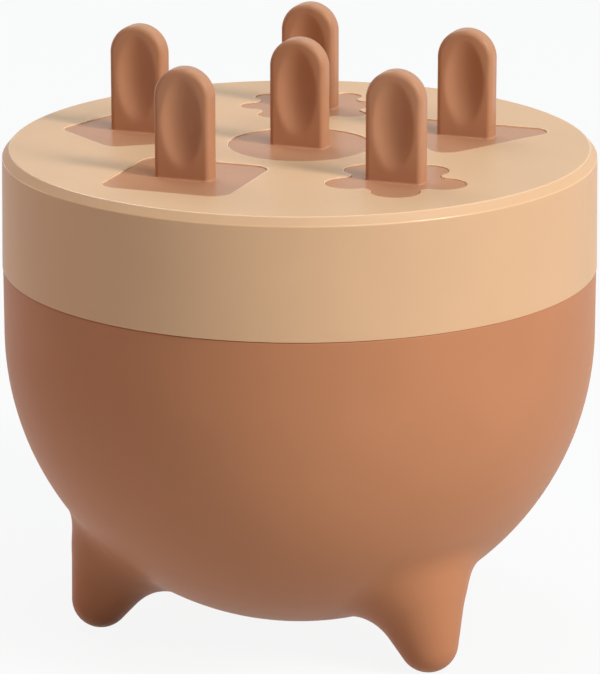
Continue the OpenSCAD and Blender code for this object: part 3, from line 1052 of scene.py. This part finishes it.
@dataclass(frozen=True)
class PopHandle:
    """Cap, upright grip and stick in one piece; sizes in millimetres.

    Attributes:
        shape: Outline of the cap.
        cap_sink: How far the cap lies under the tray's top.
        cap_spare: How much wider it is than its outline.
        cap_edge: Way from its round to where the filled part of its top begins.
        cap_corner: Soft corner under it, as (inwards, upwards).
        grip_flats: Steps over half of the grip's front, and over its side.
        grip_turns: Steps round its top.
        grip_edge: Way from the grip's fillet to where the filled part of the top begins.
        bar_steps: Steps in the rounds of grip and stick.
        dimple_soft: How far the dimple's edge is softened.
        dimple_fade: Depth over the face, beyond the dimple's edge, at which that softening has ended.
        hole_mouth: Soft mouth of a hole, as shares of stick_edge (outwards, into the stick).
    """

    levels: Levels
    outlines: Outlines
    shape: CellShape
    cap_sink: float = 0.32
    cap_round: float = 0.12
    cap_spare: float = 0.26
    cap_edge: float = 0.25
    cap_corner: tuple[tuple[float, float], ...] = ((0.3, 0.0), (0.08, 0.08), (0.0, 0.3))
    cap_steps: int = 8
    grip_w: float = 15.6
    grip_t: float = 5.6
    grip_h: float = 29.3
    grip_round: float = 1.4
    grip_flats: tuple[int, int] = (24, 6)
    grip_steps: int = 45
    grip_turns: int = 52
    grip_edge: float = 0.2
    root_fillet: float = 0.35
    root_steps: int = 4
    bar_steps: int = 10
    dimple_w: float = 10.5
    dimple_h: float = 22.2
    dimple_deep: float = 1.7
    dimple_lift: float = 3.82
    dimple_soft: float = 0.35
    dimple_fade: float = 0.8
    stick_w: float = 11.0
    stick_t: float = 4.0
    stick_l: float = 56.0
    stick_edge: float = 0.4
    stick_flats: tuple[int, int] = (1, 4)
    stick_steps: int = 11
    stick_turns: int = 28
    hole_d: float = 4.6
    hole_gap: float = 13.0
    hole_mouth: tuple[tuple[float, float], ...] = ((1.0, 0.0), (0.3, 0.7), (0.0, 2.0))
    hole_steps: int = 36
    holes: int = 3

    def dimple(self, x: np.ndarray, z: np.ndarray) -> np.ndarray:
        """Measures the thumb dimple's depth on the grip's face, as a round groove swung about a level axis.

        Args:
            x: Distances from the face's middle line.
            z: Heights over the cap.

        Returns:
            The depths, with a softened edge.
        """
        deep = self.dimple_deep
        groove_r = (self.dimple_w ** 2 / 4 / deep + deep) / 2
        swing = (self.dimple_h ** 2 / 4 + deep * deep) / 2 / deep
        up = z - self.dimple_lift - self.dimple_h / 2
        here = groove_r - swing + np.sqrt(np.maximum(swing ** 2 - up ** 2, 0))
        depth = deep - groove_r + np.sqrt(np.maximum(here ** 2 - x ** 2, 0))
        outside = (np.abs(up) > swing) | (np.abs(x) > here)
        depth = np.where(outside, -self.dimple_fade, depth)
        far = np.minimum(depth, 0)
        return self._softened(depth) - self._softened(far) * np.clip(-far / self.dimple_fade, 0, 1)

    def _softened(self, depth: np.ndarray) -> np.ndarray:
        """Returns the depth inside the dimple and nearly 0 outside it, with a soft step between."""
        return (depth + np.sqrt(depth ** 2 + self.dimple_soft ** 2)) / 2

    def section(self, width: float, thickness: float, edge: float, flats: tuple[int, int],
                grow: float = 0.0) -> np.ndarray:
        """Draws the right half of a rounded bar's section, from the middle of its front to that of its back.

        Args:
            width: Width of the bar.
            thickness: Its thickness.
            edge: Round of its edges.
            flats: Steps over half of its front, and over its side.
            grow: Margin to the outside.

        Returns:
            The points.
        """
        x, y = width / 2 - edge, thickness / 2 - edge
        half, r = thickness / 2 + grow, edge + grow
        front = np.column_stack([np.linspace(0, x, flats[0] + 1), np.full(flats[0] + 1, -half)])
        corner = arc(np.array([x, -y]), r, -90, 0, self.bar_steps)[1:]
        side = np.column_stack([np.full(flats[1] - 1, x + r), np.linspace(-y, y, flats[1] + 1)[1:-1]])
        lower = np.concatenate([front, corner])
        return np.concatenate([lower, side, lower[::-1] * np.array([1, -1])])

    def build(self) -> bpy.types.Object:
        """Builds the handle as one closed mesh.

        Returns:
            The object.
        """
        skin = Skin()
        foot = self._grip(skin)
        root = self._stick(skin)
        r, spare = self.cap_round, self.cap_spare
        path = [(self._cap(spare - inwards), up - self._cap_t()) for inwards, up in self.cap_corner]
        path.append((self._cap(spare), -r))
        for angle in quarter(self.cap_steps):
            path.append((self._cap(spare - r * (1 - math.cos(angle))), -r * (1 - math.sin(angle))))
        path.append((self._cap(spare - r - self.cap_edge), 0.0))
        rings = [skin.flat_ring(points, height) for points, height in path]
        skin.chain(rings)
        skin.fill(rings[0], [root], (0, 0, -1))
        skin.fill(rings[-1], [foot], (0, 0, 1))
        top = self.levels.top_z - self.cap_sink
        skin.blocks = [self.outlines.placed(skin.points(), self.shape, top)]
        return skin.make(f"handle_{self.shape.value}")

    def add(self) -> None:
        """Builds the handle and dresses it."""
        dress(self.build(), COCOA, [f"pop_handle_{self.shape.value}"])

    def _cap(self, grow: float) -> np.ndarray:
        """Returns the cap's outline with a margin."""
        return self.outlines.points(self.shape, grow)

    def _cap_t(self) -> float:
        """Returns the cap's thickness, with its top a little under the tray's."""
        return self.levels.cap_t - self.cap_sink

    def _sweep(self, skin: Skin, half: np.ndarray, straight: np.ndarray, turns: int, up: int) -> list[Ring]:
        """Sweeps half a section up one side of a bar, round its end and down the other side.

        Args:
            skin: The mesh.
            half: The half section.
            straight: Distances along the straight part.
            turns: Steps round the end.
            up: 1 for the grip, which stands up and takes the dimple, and -1 for the stick, which hangs.

        Returns:
            The lines of the sweep.
        """
        lines = []
        right = [(1.0, 0.0, s) for s in straight]
        over = [(math.cos(a), math.sin(a), straight[-1]) for a in np.linspace(0, math.pi, turns + 1)[1:-1]]
        left = [(-1.0, 0.0, s) for s in straight[::-1]]
        for cosine, sine, s in right + over + left:
            x = half[:, 0] * cosine
            y = half[:, 1].copy()
            z = s + half[:, 0] * sine
            if up > 0:
                front = np.isclose(y, -self.grip_t / 2)
                y[front] += self.dimple(x[front], z[front])
            lines.append(skin.ring(np.column_stack([x, y, up * z])))
        skin.chain(lines if up > 0 else reversed(lines), closed=False)
        return lines

    def _grip_loop(self, grow: float) -> np.ndarray:
        """Draws the whole section of the grip.

        Args:
            grow: Margin to the outside.

        Returns:
            Its points, anticlockwise from the middle of its front.
        """
        half = self.section(self.grip_w, self.grip_t, self.grip_round, self.grip_flats, grow)
        return np.concatenate([half, (half * np.array([-1, 1]))[::-1][1:-1]])

    def _grip(self, skin: Skin) -> Ring:
        """Adds the grip.

        Args:
            skin: The mesh.

        Returns:
            The edge of its root on the cap.
        """
        fillet, shaft = self.root_fillet, self.grip_h - self.grip_w / 2
        half = self.section(self.grip_w, self.grip_t, self.grip_round, self.grip_flats)
        straight = np.linspace(fillet, shaft, self.grip_steps + 1)
        lines = self._sweep(skin, half, straight, self.grip_turns, up=1)
        rings = [np.concatenate([lines[0], lines[-1][::-1][1:-1]])]
        for angle in quarter(self.root_steps):
            loop = self._grip_loop(fillet * (1 - math.cos(angle)))
            rings.append(skin.flat_ring(loop, fillet * (1 - math.sin(angle))))
        rings.append(skin.flat_ring(self._grip_loop(fillet + self.grip_edge), 0.0))
        skin.chain(reversed(rings))
        return rings[-1]

    def _stick(self, skin: Skin) -> Ring:
        """Adds the stick with its holes.

        Args:
            skin: The mesh.

        Returns:
            The edge of its root under the cap.
        """
        cap_t, half_w = self._cap_t(), self.stick_w / 2
        half = self.section(self.stick_w, self.stick_t, self.stick_edge, self.stick_flats)[1:-1]
        end = cap_t + self.stick_l - half_w
        straight = np.linspace(cap_t, end, self.stick_steps + 1)
        lines = self._sweep(skin, half, straight, self.stick_turns, up=-1)
        holes = [self._hole(skin, number * self.hole_gap - end) for number in range(self.holes)]
        front = np.array([line[0] for line in lines])
        back = np.array([line[-1] for line in lines])
        skin.fill(front, [hole[0] for hole in holes], (0, -1, 0))
        skin.fill(back, [hole[-1] for hole in holes], (0, 1, 0))
        return np.concatenate([lines[0], lines[-1][::-1]])

    def _hole(self, skin: Skin, height: float) -> list[Ring]:
        """Adds a hole through the stick, with a soft mouth on each side.

        Args:
            skin: The mesh.
            height: Height of its middle over the cap's top.

        Returns:
            Its rings, from the stick's front to its back.
        """
        edge, half_t = self.stick_edge, self.stick_t / 2
        mouth = [(edge * outwards, half_t - edge * inside) for outwards, inside in self.hole_mouth]
        around, rings = on_circle(np.arange(self.hole_steps) * 360 / self.hole_steps), []
        for grow, y in [(grow, -y) for grow, y in mouth] + mouth[::-1]:
            x, z = (self.hole_d / 2 + grow) * around.T
            rings.append(skin.ring(np.column_stack([x, np.full(len(x), y), height + z])))
        skin.chain(rings)
        return rings


@dataclass(frozen=True)
class Softbox:
    """A soft square lamp that looks at the mold.

    Attributes:
        name: Name of the lamp.
        turn: Its direction from the mold in degrees, anticlockwise from the right.
        rise: How high it stands, in degrees.
        power: Power in watts.
        colour: Colour in linear light.
        size: Width in metres.
        away: Distance in metres.
    """

    name: str
    turn: float
    rise: float
    power: float
    colour: tuple[float, float, float]
    size: float = 0.9
    away: float = 1.9

    def light(self, aim: Vector) -> None:
        """Adds the lamp.

        Args:
            aim: The point that it looks at.
        """
        data = bpy.data.lights.new(self.name, "AREA")
        data.shape = "SQUARE"
        data.size = self.size
        data.energy = self.power
        data.color = self.colour
        lamp = bpy.data.objects.new(self.name, data)
        turn, rise = math.radians(self.turn), math.radians(self.rise)
        away = Vector((math.cos(turn) * math.cos(rise), math.sin(turn) * math.cos(rise), math.sin(rise)))
        lamp.location = aim + away * self.away
        lamp.rotation_euler = (-away).to_track_quat("-Z", "Y").to_euler()
        bpy.context.scene.collection.objects.link(lamp)


def onlookers(tree: bpy.types.NodeTree, share: float) -> bpy.types.NodeSocket:
    """Tells the rays that look at the background from those that carry its light.

    Args:
        tree: The node tree.
        share: Value for the camera's rays and for those mirrored in or seen through a surface.

    Returns:
        The socket with that value, or 0 for every other ray.
    """
    path = tree.nodes.new("ShaderNodeLightPath")
    seen = path.outputs["Is Camera Ray"]
    for kind in ("Is Glossy Ray", "Is Transmission Ray"):
        either = tree.nodes.new("ShaderNodeMath")
        either.operation = "MAXIMUM"
        tree.links.new(seen, either.inputs[0])
        tree.links.new(path.outputs[kind], either.inputs[1])
        seen = either.outputs[0]
    part = tree.nodes.new("ShaderNodeMath")
    part.operation = "MULTIPLY"
    part.inputs[1].default_value = share
    tree.links.new(seen, part.inputs[0])
    return part.outputs[0]


@dataclass(frozen=True)
class PaleGround:
    """Matt pale ground, nearly white to the camera, that keeps a faint shadow.

    Attributes:
        name: Name of the material.
        colour: Its own colour in linear light.
        roughness: Its roughness.
        shine: Strength of its mirror light.
        glow: Share of plain white that the camera sees in place of that colour.
    """

    name: str = "pale_floor"
    colour: tuple[float, float, float] = (0.66, 0.655, 0.65)
    roughness: float = 0.9
    shine: float = 0.1
    glow: float = 0.9

    def material(self) -> bpy.types.Material:
        """Builds the material.

        Returns:
            The material with its nodes.
        """
        material = bpy.data.materials.new(self.name)
        material.use_nodes = True
        tree = material.node_tree
        base = tree.nodes["Principled BSDF"]
        base.inputs["Base Color"].default_value = (*self.colour, 1)
        base.inputs["Roughness"].default_value = self.roughness
        base.inputs["Specular IOR Level"].default_value = self.shine
        white = tree.nodes.new("ShaderNodeEmission")
        white.inputs["Strength"].default_value = 1.0
        mix = tree.nodes.new("ShaderNodeMixShader")
        tree.links.new(onlookers(tree, self.glow), mix.inputs[0])
        tree.links.new(base.outputs[0], mix.inputs[1])
        tree.links.new(white.outputs[0], mix.inputs[2])
        tree.links.new(mix.outputs[0], tree.nodes["Material Output"].inputs["Surface"])
        return material


@dataclass(frozen=True)
class Studio:
    """Pale floor, soft light and the camera; places in metres.

    Attributes:
        camera_place: Where the camera stands.
        camera_aim: The point that it looks at.
        lens: Its focal length, in millimetres.
        sensor: Width of its sensor, in millimetres.
        sight: Nearest and furthest distance that it sees.
        lamp_aim: The point that the lamps look at.
        world: Strength of the faint light from all around.
        ground: Finish of the floor.
        floor_radii: Rings of the floor, in millimetres.
        floor_steps: Steps round it.
        boxes: The lamps.
    """

    camera_place: tuple[float, float, float] = (0.00008, -1.0909, 0.3958)
    camera_aim: tuple[float, float, float] = (0.00008, 0.0, 0.0797)
    lens: float = 223.78
    sensor: float = 36.0
    sight: tuple[float, float] = (0.05, 50.0)
    lamp_aim: tuple[float, float, float] = (0.0, 0.0, 0.09)
    world: float = 0.02
    ground: PaleGround = PaleGround()
    floor_radii: tuple[float, ...] = (6000.0, 2500.0, 1000.0, 400.0, 150.0, 40.0)
    floor_steps: int = 120
    boxes: tuple[Softbox, ...] = (
        Softbox("key", 327, 39, 16.4, colour=(1.0, 0.99, 0.96), size=0.42),
        Softbox("key_low", 325, 23, 10.8, colour=(1.0, 0.98, 0.93), size=0.42),
        Softbox("front", 296, 42, 7.4, colour=(0.94, 0.98, 1.0), size=0.6),
        Softbox("top", 0, 90, 9.2, colour=(0.72, 0.93, 1.0)),
        Softbox("back_left", 120, 50, 10.6, colour=(0.82, 0.94, 1.0)),
        Softbox("back_right", 60, 55, 4.4, colour=(0.62, 0.86, 1.0)),
        Softbox("rim_left", 155, 6, 6.4, colour=(1.0, 0.6, 0.3)),
        Softbox("glow_left", 190, 10, 2.0, colour=(1.0, 0.16, 0.08)),
        Softbox("fill", 250, 38, 0.8, colour=(1.0, 0.84, 0.76)),
    )

    def build(self) -> None:
        """Sets the camera, the lamps, the world and the floor."""
        self._camera()
        for box in self.boxes:
            box.light(Vector(self.lamp_aim))
        self._world()
        self._floor()
        bpy.context.scene.view_settings.view_transform = "Standard"
        LOG.info("studio: %d lamps", len(self.boxes))

    def _camera(self) -> None:
        """Places the camera where the photograph was taken from."""
        data = bpy.data.cameras.new("camera")
        data.lens = self.lens
        data.sensor_width = self.sensor
        data.clip_start, data.clip_end = self.sight
        camera = bpy.data.objects.new("camera", data)
        camera.location = self.camera_place
        aim = Vector(self.camera_aim) - Vector(self.camera_place)
        camera.rotation_euler = aim.to_track_quat("-Z", "Y").to_euler()
        bpy.context.scene.collection.objects.link(camera)
        bpy.context.scene.camera = camera

    def _world(self) -> None:
        """Surrounds the mold with plain white, which the camera and shiny surfaces see, and faint light."""
        world = bpy.data.worlds.new("studio")
        world.use_nodes = True
        bpy.context.scene.world = world
        tree = world.node_tree
        tree.nodes.clear()
        seen = tree.nodes.new("ShaderNodeBackground")
        seen.inputs["Strength"].default_value = 1.0
        light = tree.nodes.new("ShaderNodeBackground")
        light.inputs["Strength"].default_value = self.world
        mix = tree.nodes.new("ShaderNodeMixShader")
        out = tree.nodes.new("ShaderNodeOutputWorld")
        tree.links.new(onlookers(tree, 1.0), mix.inputs[0])
        tree.links.new(light.outputs[0], mix.inputs[1])
        tree.links.new(seen.outputs[0], mix.inputs[2])
        tree.links.new(mix.outputs[0], out.inputs[0])

    def _floor(self) -> None:
        """Lays a wide pale floor."""
        skin = Skin()
        around = on_circle(np.arange(self.floor_steps) * 360 / self.floor_steps)
        rings = [skin.flat_ring(around * r, 0.0) for r in self.floor_radii]
        skin.chain(rings)
        skin.fill(rings[-1], [], (0, 0, 1))
        floor = skin.make("floor")
        floor.data.materials.append(self.ground.material())


@dataclass(frozen=True)
class Mold:
    """The whole mold."""

    levels: Levels = Levels()
    outlines: Outlines = Outlines()

    def build(self) -> None:
        """Builds and dresses every piece."""
        StandBowl(self.levels).add()
        CellTray(self.levels, self.outlines).add()
        for shape in CellShape:
            PopHandle(self.levels, self.outlines, shape).add()


def main() -> None:
    """Builds the mold and its studio."""
    logging.basicConfig(level=logging.INFO, format="%(name)s: %(message)s")
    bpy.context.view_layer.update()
    Mold().build()
    Studio().build()
    LOG.info("sizes written")


if __name__ == "__main__":
    main()
